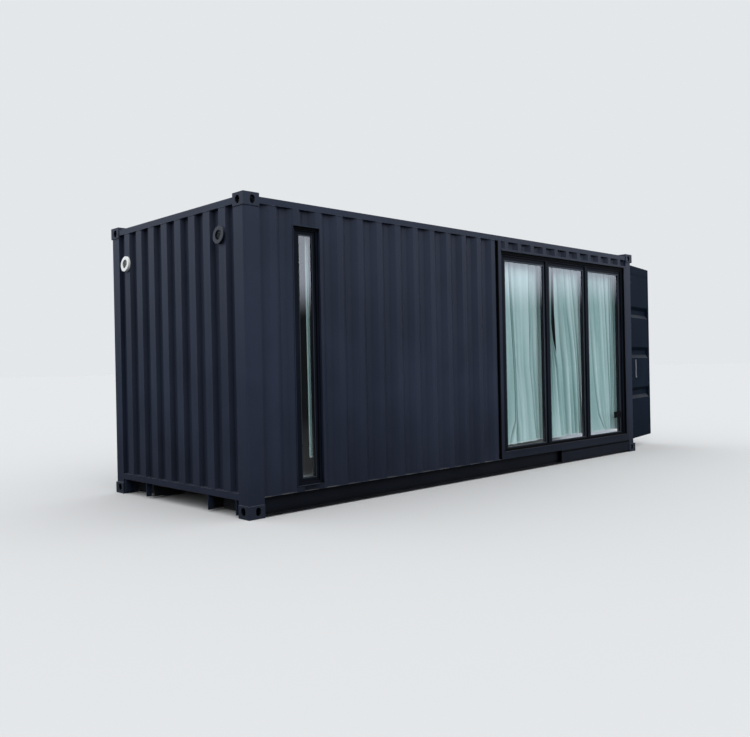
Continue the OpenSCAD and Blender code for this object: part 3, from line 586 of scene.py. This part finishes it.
# The beads' paler coat partly paints the highlight along the panes' edges.
beads = Pieces()
for pane_low, pane_high in pane_boxes:
    beads.ring(pane_low.x, pane_high.x, pane_low.z, pane_high.z, pane_low.y - BEAD_OUT, pane_low.y - BEAD_IN,
               SLIT_BEAD if pane_high.x < 0 else BEAD)
beads.build("glazing_beads", bead_coat_and_highlight, finish="window_profile")

flashing = Pieces()
flashing.box((low.x, wall_face, low.z - HAIR), (high.x, back, sill))
flashing.build("sill_flashing", trim_paint, finish="wall_paint")

# %% [markdown]
# ## The leaf's small pieces
# The open leaf carries a plate in the middle of its height, whose left border is bare metal, and every
# hinge strap is held by domed bolts. They are drawn in the leaf's own frame: x points out of its outer
# face, y runs from the pin to the free edge.


# %% Plate and bolts on the leaves
# Sizes in metres, LEAF_OPEN in degrees. RIVET and BOLT are a head's radius and height.
PIN_X, PIN_Y, LEAF_OPEN = 3.526, -1.184, 79.5
LEAF_FOOT, LEAF_HEIGHT, HINGE_INSET, HINGES = 0.160, 2.612, 0.240, 4
STRAP_FACE, BOLT_ROWS = -0.038, (0.062, 0.098, 0.134)
PLATE_BACK, PLATE_FACE, EDGE_FACE, FOOT_FACE = -0.051, -0.046, -0.0425, -0.0405
RIVET_ROWS, RIVET_LEVELS = (0.47, 0.58), (1.095, 1.34)
RIVET, BOLT = (0.006, 0.004), (0.011, 0.007)
OUT = (1, 0, 0)


def leaf_frame(side):
    """From a leaf's own frame to the part's: side -1 is the near leaf as it stands, 1 the far leaf, shut."""
    pin = Matrix.Translation((PIN_X, PIN_Y, 0))
    if side < 0:
        return pin @ Matrix.Rotation(math.radians(-LEAF_OPEN), 4, "Z")
    return Matrix.Scale(-1, 4, (0, 1, 0)) @ pin


plate, trim = Pieces(), Pieces()
near = leaf_frame(-1)
plate.box((PLATE_BACK, 0.440, 1.075), (PLATE_FACE, 0.600, 1.362), near)
trim.box((PLATE_BACK, 0.408, 1.085), (EDGE_FACE, 0.442, 1.350), near)
trim.box((PLATE_BACK, 0.425, 1.072), (FOOT_FACE, 0.455, 1.098), near)
for y in RIVET_ROWS:
    for z in RIVET_LEVELS:
        plate.dome((PLATE_FACE, y, z), OUT, *RIVET, near)
plate.build("leaf_plate", leaf_paint, "cargo_leaf", "wall_paint")
trim.build("leaf_plate_trim", bare_metal, "cargo_leaf")

for side, body, which in ((-1, "cargo_leaf", "near"), (1, "cabin", "far")):
    bolts = Pieces()
    for i in range(HINGES):
        z = LEAF_FOOT + HINGE_INSET + i * (LEAF_HEIGHT - 2 * HINGE_INSET) / (HINGES - 1)
        for y in BOLT_ROWS:
            bolts.dome((STRAP_FACE, y, z), OUT, *BOLT, leaf_frame(side))
    bolts.build(f"{which}_hinge_bolts", casting_paint, body, "casting_paint", smooth=True)

# %% [markdown]
# ## Curtains
# Each curtain is cut wider than the gap that it covers, and gathered on the track. Cloth that is drawn
# aside hangs in broad rounded folds with narrow deep creases between them, and the creases lean and fan
# out towards the hem. So a curtain is written as the places and depths of its creases at a few heights,
# and how far each fold stands back. In every row the creases' depth is then solved so that the row is as
# long as the flat cloth, as cloth doesn't stretch. A hem doubles the cloth at the bottom and the sides.


# %% Hang the curtains
# Sizes in metres, or in millimetres where the name says so. FRONT is where the cloth's front lies behind
# or before the track, and DEEPEST how far the folds may reach back from there.
TRACK_Y, TRACK_Z, TOP_GAP = -1.065, 2.721, 0.004
CREASE_MM, HEM_MM, FRONT, DEEPEST = 27.0, 17.0, -0.027, 0.056
FOLD_POINTS, ROWS, COLUMNS = 40, 64, 20
GREATEST_SCALE, HALVINGS = 1.8, 24
SHARPEST, ROUND_FRONT, SWAY, HEM_HALF, GLIDER_INSET = 0.3, 0.012, 0.003, 0.0015, 0.008
glider_spots = []


def row_shape(edges, depths, recess, scale, seed, down):
    """One row of a curtain: x and y of finely spaced points, FOLD_POINTS to each fold."""
    edges, depths = np.array(edges), np.array(depths)
    x = np.concatenate([np.linspace(a, b, FOLD_POINTS + 1)[:-1] for a, b in zip(edges[:-1], edges[1:])]
                       + [edges[-1:]])
    widths = np.diff(edges)
    near = np.minimum(np.append(widths, widths[-1]), np.insert(widths, 0, widths[0]))
    sharp = np.minimum(CREASE_MM / 1000, SHARPEST * near)
    fold = np.minimum(np.arange(len(x)) // FOLD_POINTS, len(widths) - 1)
    share = (x - edges[fold]) / widths[fold]
    back = np.zeros_like(x) + recess[0]
    for k in range(1, len(recess)):
        step = np.clip((x - edges[k] + sharp[k]) / (2 * sharp[k]), 0, 1)
        back = back + (recess[k] - recess[k - 1]) * step * step * (3 - 2 * step)
    crease = np.zeros_like(x)
    for edge, deep, soft in zip(edges, depths, sharp):
        crease = np.maximum(crease, deep * np.exp(-(((x - edge) / soft) ** 2)))
    rng = np.random.default_rng(seed)
    round_front = ROUND_FRONT * rng.uniform(0.4, 1.0, len(widths))
    lean = rng.uniform(-1, 1, len(widths))
    bulge = round_front[fold] * np.sin(np.pi * share) * (1 + 0.5 * lean[fold] * np.cos(np.pi * share))
    sway = SWAY * np.sin(11 * x + 4 * down + seed)
    return x, np.minimum(back + scale * (crease - 0.5 * bulge), DEEPEST) + sway


def row_length(x, y):
    return np.hypot(np.diff(x), np.diff(y)).sum()


def solve_row(edges, depths, recess, flat_w, seed, down):
    """The row whose length is the flat cloth's width, by halving the range of the depth's scale."""
    low, high = 0.0, GREATEST_SCALE
    for _ in range(HALVINGS):
        scale = (low + high) / 2
        x, y = row_shape(edges, depths, recess, scale, seed, down)
        low, high = (scale, high) if row_length(x, y) < flat_w else (low, scale)
    return x, y, scale


def grid_faces(tall, wide):
    """The faces of a grid of points, row by row."""
    return [(r * wide + c, r * wide + c + 1, (r + 1) * wide + c + 1, (r + 1) * wide + c)
            for r in range(tall - 1) for c in range(wide - 1)]


def hang_curtain(name, rows_at, recess, flat_w, z0, seed):
    """A curtain from [(share of the way down, crease places, crease depths), ...] and its folds' recess.

    Depths and recess are shares of DEEPEST, and z0 is the hem's height at the left and the right.
    """
    top = TRACK_Z - TOP_GAP
    height = top - sum(z0) / 2
    folds = len(recess)
    stops = [row[0] for row in rows_at]
    places, depths_at = np.array([row[1] for row in rows_at]), np.array([row[2] for row in rows_at]) * DEEPEST
    recess = np.array(recess) * DEEPEST
    verts, scales, full = [], [], []
    downs = np.append(np.linspace(0, 1 - HEM_MM / 1000 / height, ROWS), 1.0)
    for down in downs:
        edges = [np.interp(down, stops, places[:, k]) for k in range(folds + 1)]
        depths = [np.interp(down, stops, depths_at[:, k]) for k in range(folds + 1)]
        full.append(row_length(*row_shape(edges, depths, recess, 1.0, seed, down)))
        x, y, scale = solve_row(edges, depths, recess, flat_w, seed, down)
        along = np.concatenate([[0], np.cumsum(np.hypot(np.diff(x), np.diff(y)))])
        marks = [np.linspace(along[FOLD_POINTS * f], along[FOLD_POINTS * (f + 1)], COLUMNS + 1)[:-1]
                 for f in range(folds)]
        marks = np.concatenate(marks + [along[-1:]])
        px, py = np.interp(marks, along, x), np.interp(marks, along, y)
        foot = np.interp(px, (places[:, 0].min(), places[:, -1].max()), z0)
        verts += [(px[c], TRACK_Y + FRONT + py[c], top - (top - foot[c]) * down) for c in range(len(px))]
        scales.append(scale)
    wide = folds * COLUMNS + 1
    mesh = bpy.data.meshes.new(name)
    mesh.from_pydata(verts, [], grid_faces(ROWS + 1, wide))
    layer = mesh.uv_layers.new(name="flat")
    for loop in mesh.loops:
        r, c = divmod(loop.vertex_index, wide)
        layer.data[loop.index].uv = (flat_w * c / (wide - 1), height * (1 - downs[r]))
    for polygon in mesh.polygons:
        polygon.use_smooth = True
    obj = bpy.data.objects.new(name, mesh)
    scene.collection.objects.link(obj)
    mesh.materials.append(cloth)
    co = np.array(verts).reshape(ROWS + 1, wide, 3)
    hem = Pieces()
    for strip in (co[-2:], co[:, :2], co[:, -2:]):
        for side in (-HEM_HALF, HEM_HALF):
            hem.take((strip + np.array([0, side, 0])).reshape(-1, 3), grid_faces(*strip.shape[:2]))
    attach(obj, "cabin")
    hem = hem.build(name + "_hem", hem_cloth, finish="curtain_cloth", smooth=True)
    first, last = places[0, 0] + GLIDER_INSET, places[0, -1] - GLIDER_INSET
    glider_spots.extend(float(x) for x in np.linspace(first, last, 2 * folds + 1))
    low, high = co.reshape(-1, 3).min(0), co.reshape(-1, 3).max(0)
    print(f"{name}: flat {flat_w:.3f} x {height:.3f} m, box {low.round(3)} to {high.round(3)}, depth "
          f"{min(scales):.2f} to {max(scales):.2f}, full depth takes {min(full):.3f} to {max(full):.3f} m")
    return obj


left = hang_curtain("left_curtain", [
    (0.0, [0.424, 0.600, 0.625, 0.742, 0.890, 1.060, 1.180, 1.290, 1.378],
     [0.2, 0.6, 0.6, 0.7, 0.3, 0.9, 0.4, 0.8, 0.2]),
    (0.27, [0.424, 0.636, 0.661, 0.753, 0.900, 1.063, 1.180, 1.299, 1.378],
     [0.2, 0.9, 0.9, 0.8, 0.2, 1.0, 0.4, 0.8, 0.2]),
    (0.60, [0.424, 0.688, 0.710, 0.776, 0.915, 1.065, 1.180, 1.301, 1.378],
     [0.2, 1.0, 1.0, 0.8, 0.2, 1.0, 0.4, 0.8, 0.2]),
    (0.75, [0.424, 0.700, 0.722, 0.826, 0.960, 1.115, 1.205, 1.295, 1.378],
     [0.2, 1.0, 1.0, 0.5, 0.2, 1.0, 0.3, 0.8, 0.2]),
    (0.88, [0.424, 0.696, 0.724, 0.850, 0.990, 1.145, 1.220, 1.290, 1.378],
     [0.2, 0.9, 0.9, 0.2, 0.2, 1.0, 0.3, 0.7, 0.2]),
    (1.0, [0.424, 0.596, 0.752, 0.860, 1.010, 1.178, 1.235, 1.286, 1.378],
     [0.2, 0.9, 0.9, 0.2, 0.2, 1.0, 0.3, 0.6, 0.2])],
    [0.0, 0.0, 0.0, 0.05, 0.0, 0.5, 0.5, 0.1], 1.15, (0.322, 0.338), 12)
hang_curtain("middle_curtain_side", [
    (0.0, [1.492, 1.509, 1.526, 1.543, 1.560], [0.2, 1.0, 1.0, 1.0, 0.2]),
    (0.37, [1.492, 1.506, 1.520, 1.534, 1.549], [0.2, 1.0, 1.0, 1.0, 0.2]),
    (0.46, [1.492, 1.515, 1.540, 1.565, 1.591], [0.2, 0.9, 0.9, 0.9, 0.2]),
    (0.53, [1.492, 1.530, 1.575, 1.620, 1.667], [0.2, 0.7, 0.7, 0.7, 0.2]),
    (0.61, [1.492, 1.545, 1.605, 1.665, 1.724], [0.2, 0.5, 0.5, 0.5, 0.2]),
    (1.0, [1.492, 1.570, 1.660, 1.750, 1.848], [0.2, 0.1, 0.2, 0.1, 0.2])],
    [0.0, 0.05, 0.0, 0.0], 0.365, (0.334, 0.334), 14)
middle = hang_curtain("middle_curtain", [
    (0.0, [1.668, 1.750, 1.815, 1.900, 1.990, 2.080, 2.300, 2.366],
     [0.0, 0.8, 0.5, 0.9, 0.5, 0.9, 0.9, 0.3]),
    (0.29, [1.665, 1.790, 1.875, 1.962, 2.080, 2.180, 2.290, 2.366],
     [0.0, 0.9, 0.5, 0.9, 0.5, 1.0, 0.9, 0.3]),
    (0.46, [1.690, 1.826, 1.935, 2.052, 2.140, 2.215, 2.276, 2.366],
     [0.0, 1.0, 0.5, 1.0, 0.6, 1.0, 1.0, 0.3]),
    (0.53, [1.700, 1.850, 1.960, 2.072, 2.160, 2.225, 2.278, 2.366],
     [0.0, 1.0, 0.5, 1.0, 0.6, 1.0, 1.0, 0.3]),
    (0.61, [1.706, 1.885, 1.985, 2.090, 2.180, 2.236, 2.280, 2.366],
     [0.0, 0.9, 0.4, 0.9, 0.6, 1.0, 1.0, 0.3]),
    (0.85, [1.790, 1.928, 2.030, 2.122, 2.205, 2.264, 2.306, 2.366],
     [0.0, 1.0, 0.6, 1.0, 0.7, 1.0, 1.0, 0.3]),
    (1.0, [1.826, 1.950, 2.045, 2.140, 2.220, 2.285, 2.326, 2.366],
     [0.0, 1.0, 0.8, 1.0, 0.8, 0.9, 1.0, 0.3])],
    [0.5, 0.0, 0.15, 0.0, 0.2, 0.1, 0.8], 0.86, (0.334, 0.345), 15)
right = hang_curtain("right_curtain", [
    (0.0, [2.474, 2.540, 2.650, 2.760, 2.860, 2.960, 3.070], [0.2, 0.7, 0.4, 0.6, 0.3, 0.8, 0.2]),
    (0.35, [2.474, 2.587, 2.700, 2.835, 2.920, 3.013, 3.082], [0.2, 0.9, 0.4, 0.7, 0.3, 1.0, 0.2]),
    (0.62, [2.474, 2.639, 2.745, 2.869, 2.960, 3.053, 3.090], [0.2, 1.0, 0.3, 0.6, 0.3, 1.0, 0.2]),
    (0.76, [2.474, 2.682, 2.780, 2.885, 2.975, 3.072, 3.095], [0.2, 1.0, 0.3, 0.4, 0.3, 0.8, 0.2]),
    (0.90, [2.474, 2.764, 2.845, 2.925, 2.995, 3.072, 3.097], [0.2, 1.0, 0.3, 0.3, 0.3, 0.6, 0.2]),
    (1.0, [2.474, 2.930, 2.965, 2.995, 3.030, 3.072, 3.097], [0.2, 1.0, 0.3, 0.2, 0.3, 0.6, 0.2])],
    [0.0, 0.2, 0.1, 0.1, 0.05, 0.0], 0.73, (0.345, 0.338), 16)
hang_curtain("right_curtain_side", [
    (0.0, [3.103, 3.150, 3.195, 3.245, 3.312], [0.2, 0.6, 0.8, 0.6, 0.0]),
    (1.0, [3.106, 3.155, 3.205, 3.250, 3.308], [0.2, 0.7, 0.5, 0.8, 0.0])],
    [0.45, 0.35, 0.4, 0.0], 0.32, (0.338, 0.338), 17)
slit = hang_curtain("slit_curtain", [
    (0.0, [-2.732, -2.708, -2.684, -2.661], [0.1, 0.3, 0.2, 0.1]),
    (1.0, [-2.727, -2.705, -2.683, -2.661], [0.1, 0.3, 0.2, 0.1])],
    [0.0, 0.0, 0.0], 0.088, (0.470, 0.470), 18)
for piece, node in ((left, "curtain_1"), (middle, "curtain_2"), (right, "curtain_3"),
                    (slit, "window_curtain")):
    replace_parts(piece, node)

# %% [markdown]
# ## Gliders
# Small white runners carry the curtains in the track, two at each fold.

# %% Gliders under the track
GLIDER_SIDE, GLIDER_DEEP, GLIDER_DOWN, GLIDER_UP = 0.003, 0.004, 0.010, 0.002
gliders = Pieces()
for x in glider_spots:
    gliders.box((x - GLIDER_SIDE, TRACK_Y - GLIDER_DEEP, TRACK_Z - GLIDER_DOWN),
                (x + GLIDER_SIDE, TRACK_Y + GLIDER_DEEP, TRACK_Z + GLIDER_UP))
gliders.build("track_gliders", track_coating, finish="track")

# %% [markdown]
# ## Insect screens
# Behind the slats of a wall vent lies a woven wire screen, which makes its mouth look grey.


# %% Screens in the vents
WIRE_MM, MOUTH_RADIUS, SCREEN_IN, SCREEN_STEPS = 1.6, 0.0455, 0.0045, 40


def wire_screen():
    material, tree, out = new_material("woven_wire_screen")
    parts = add(tree, "SeparateXYZ", Vector=add(tree, "TexCoord").outputs["Object"])
    turns = 2 * math.pi * per_metre(WIRE_MM)
    wires = [calc(tree, "SINE", calc(tree, "MULTIPLY", parts.outputs[axis], turns)) for axis in ("Y", "Z")]
    wire = calc(tree, "MAXIMUM", *wires)
    tone = ramp(tree, wire, 0.3, 0.6, linear("#1C1D1D"), linear("#8E908E"))
    bump = add(tree, "Bump", Height=wire, Strength=0.5, Distance=0.0005).outputs["Normal"]
    shader = add(tree, "BsdfPrincipled", Base_Color=tone, Roughness=0.4, Metallic=0.6, Normal=bump)
    tree.links.new(shader.outputs["BSDF"], out.inputs["Surface"])
    return material


screens = Pieces()
for name in ("pale_vent", "dark_vent"):
    low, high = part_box(name)
    centre = (low + high) / 2
    x = high.x - SCREEN_IN
    angles = [2 * math.pi * i / SCREEN_STEPS for i in range(SCREEN_STEPS)]
    ring = [(x, centre.y + MOUTH_RADIUS * math.cos(a), centre.z + MOUTH_RADIUS * math.sin(a)) for a in angles]
    screens.take([(x, centre.y, centre.z)] + ring,
                 [(0, 1 + (i + 1) % SCREEN_STEPS, 1 + i) for i in range(SCREEN_STEPS)])
screens.build("vent_screens", wire_screen())

# %% [markdown]
# ## The studio
# An even overcast sky lights the cabin: bright overhead, half as bright at the horizon. So faces that
# look up are lighter and undersides are dark, as under a cloudy sky. The floor looks pale to the camera,
# but it throws back only as much light as grass does, so that recesses stay dark. A wide soft sun adds a
# little direction. The sky's level is set so that an upright face shows its colour as written.
# Glass and gloss show the studio too: the floor is pale near the cabin and fades out, and over a dim
# horizon stands the bright sky. So the top of a pane mirrors the sky, and lower down one sees through.


# %% Floor and light
BACKDROP, SKY, MIRRORED_SKY = linear("#E4E7EA"), linear("#F3F6FB"), linear("#E2EAF9")
GRASS_LEVEL, FAR_FLOOR = linear("#5E6163"), linear("#2A2C2D")
LOW, RISE, SUN_SHARE = 0.68, 1.36, 0.22
FLOOR_SIZE, PALE_TO, PALE_END, PALE_SHARE = 400, 4.0, 14.0, 0.14
HORIZON, ABOVE_IT, HORIZON_GLOW, SKY_GLOW = 0.06, 0.115, 0.05, 2.1
CLOUD_WAY, CLOUD_STRENGTH, CLOUD_WIDTH = (-0.55, -0.6, 1.1), 0.9, 70


def mirrored_ray(tree, rays):
    """1 for a ray that comes off gloss or out of glass, and 0 for any other."""
    return calc(tree, "MAXIMUM", rays.outputs["Is Glossy Ray"], rays.outputs["Is Transmission Ray"])


def studio_floor():
    bpy.ops.mesh.primitive_plane_add(size=FLOOR_SIZE, location=(0, 0, 0))
    ground = bpy.context.object
    ground.name = "studio_floor"
    material, tree, out = new_material("pale_studio_floor")
    rays = add(tree, "LightPath")
    level = LOW + RISE * 2 / 3 + SUN_SHARE
    pale = [b / s / level for b, s in zip(BACKDROP[:3], SKY[:3])] + [1.0]
    seen = add(tree, "BsdfDiffuse", Color=pale).outputs["BSDF"]
    bounce = add(tree, "BsdfDiffuse", Color=GRASS_LEVEL).outputs["BSDF"]
    dim = add(tree, "BsdfDiffuse", Color=FAR_FLOOR).outputs["BSDF"]
    place = add(tree, "TexCoord").outputs["Object"]
    away = add(tree, "VectorMath", {"operation": "LENGTH"}, i0=place).outputs["Value"]
    near = smooth_step(tree, away, PALE_TO, PALE_END, PALE_SHARE, 0.0)
    mirrored = mirrored_ray(tree, rays)
    share = calc(tree, "MAXIMUM", rays.outputs["Is Camera Ray"], calc(tree, "MULTIPLY", mirrored, near))
    thrown = add(tree, "MixShader", Fac=mirrored, i1=bounce, i2=dim).outputs["Shader"]
    mixed = add(tree, "MixShader", Fac=share, i1=thrown, i2=seen).outputs["Shader"]
    tree.links.new(mixed, out.inputs["Surface"])
    ground.data.materials.append(material)


def studio_sky():
    world = bpy.data.worlds.new("overcast_sky")
    scene.world = world
    world.use_nodes = True
    tree = world.node_tree
    tree.nodes.clear()
    out = add(tree, "OutputWorld")
    way = add(tree, "TexCoord").outputs["Generated"]
    height = calc(tree, "MAXIMUM", add(tree, "SeparateXYZ", Vector=way).outputs["Z"], 0.0)
    glow = calc(tree, "MULTIPLY_ADD", height, RISE, LOW)
    lit = add(tree, "Background", Color=SKY, Strength=glow).outputs["Background"]
    backdrop = add(tree, "Background", Color=BACKDROP, Strength=1.0).outputs["Background"]
    bright = smooth_step(tree, height, HORIZON, ABOVE_IT, HORIZON_GLOW, SKY_GLOW)
    sky = add(tree, "Background", Color=MIRRORED_SKY, Strength=bright).outputs["Background"]
    rays = add(tree, "LightPath")
    unseen = add(tree, "MixShader", Fac=mirrored_ray(tree, rays), i1=lit, i2=sky).outputs["Shader"]
    seen = rays.outputs["Is Camera Ray"]
    mixed = add(tree, "MixShader", Fac=seen, i1=unseen, i2=backdrop).outputs["Shader"]
    tree.links.new(mixed, out.inputs["Surface"])


def soft_sun(name, toward, strength, width):
    """A sun that shines from the direction toward, as wide as a bank of cloud."""
    lamp = bpy.data.objects.new(name, bpy.data.lights.new(name, "SUN"))
    lamp.data.energy, lamp.data.angle = strength, math.radians(width)
    lamp.rotation_mode = "QUATERNION"
    lamp.rotation_quaternion = Vector(toward).to_track_quat("Z", "Y")
    scene.collection.objects.link(lamp)
    return lamp


studio_floor()
studio_sky()
key = soft_sun("cloud_light", CLOUD_WAY, CLOUD_STRENGTH, CLOUD_WIDTH)
print("Lamps:", key.name, key.data.energy)


# %% Camera
PLACE, FORWARD, ROLL = (-7.696, -6.807, 1.340), (0.6742, 0.7386, -0.0005), -0.0201
SENSOR_MM, LENS_MM, SHIFT = 36.0, 37.976, (0.0640, -0.0024)


def camera_at(place, forward, roll, lens, shift):
    """A camera that looks along forward, turned by roll about that line."""
    data = bpy.data.cameras.new("photo_camera")
    data.sensor_width, data.lens = SENSOR_MM, lens
    data.shift_x, data.shift_y = shift
    data.clip_start, data.clip_end = 0.1, FLOOR_SIZE
    cam = bpy.data.objects.new("photo_camera", data)
    forward = Vector(forward).normalized()
    side = forward.cross(Vector((0, 0, 1))).normalized()
    top = side.cross(forward)
    right = side * math.cos(roll) + top * math.sin(roll)
    up = -side * math.sin(roll) + top * math.cos(roll)
    cam.matrix_world = Matrix.Translation(place) @ Matrix((right, up, -forward)).transposed().to_4x4()
    scene.collection.objects.link(cam)
    return cam


scene.camera = camera_at(PLACE, FORWARD, ROLL, LENS_MM, SHIFT)
print("Camera at", tuple(round(v, 3) for v in scene.camera.location))

scene.view_settings.view_transform = "Standard"
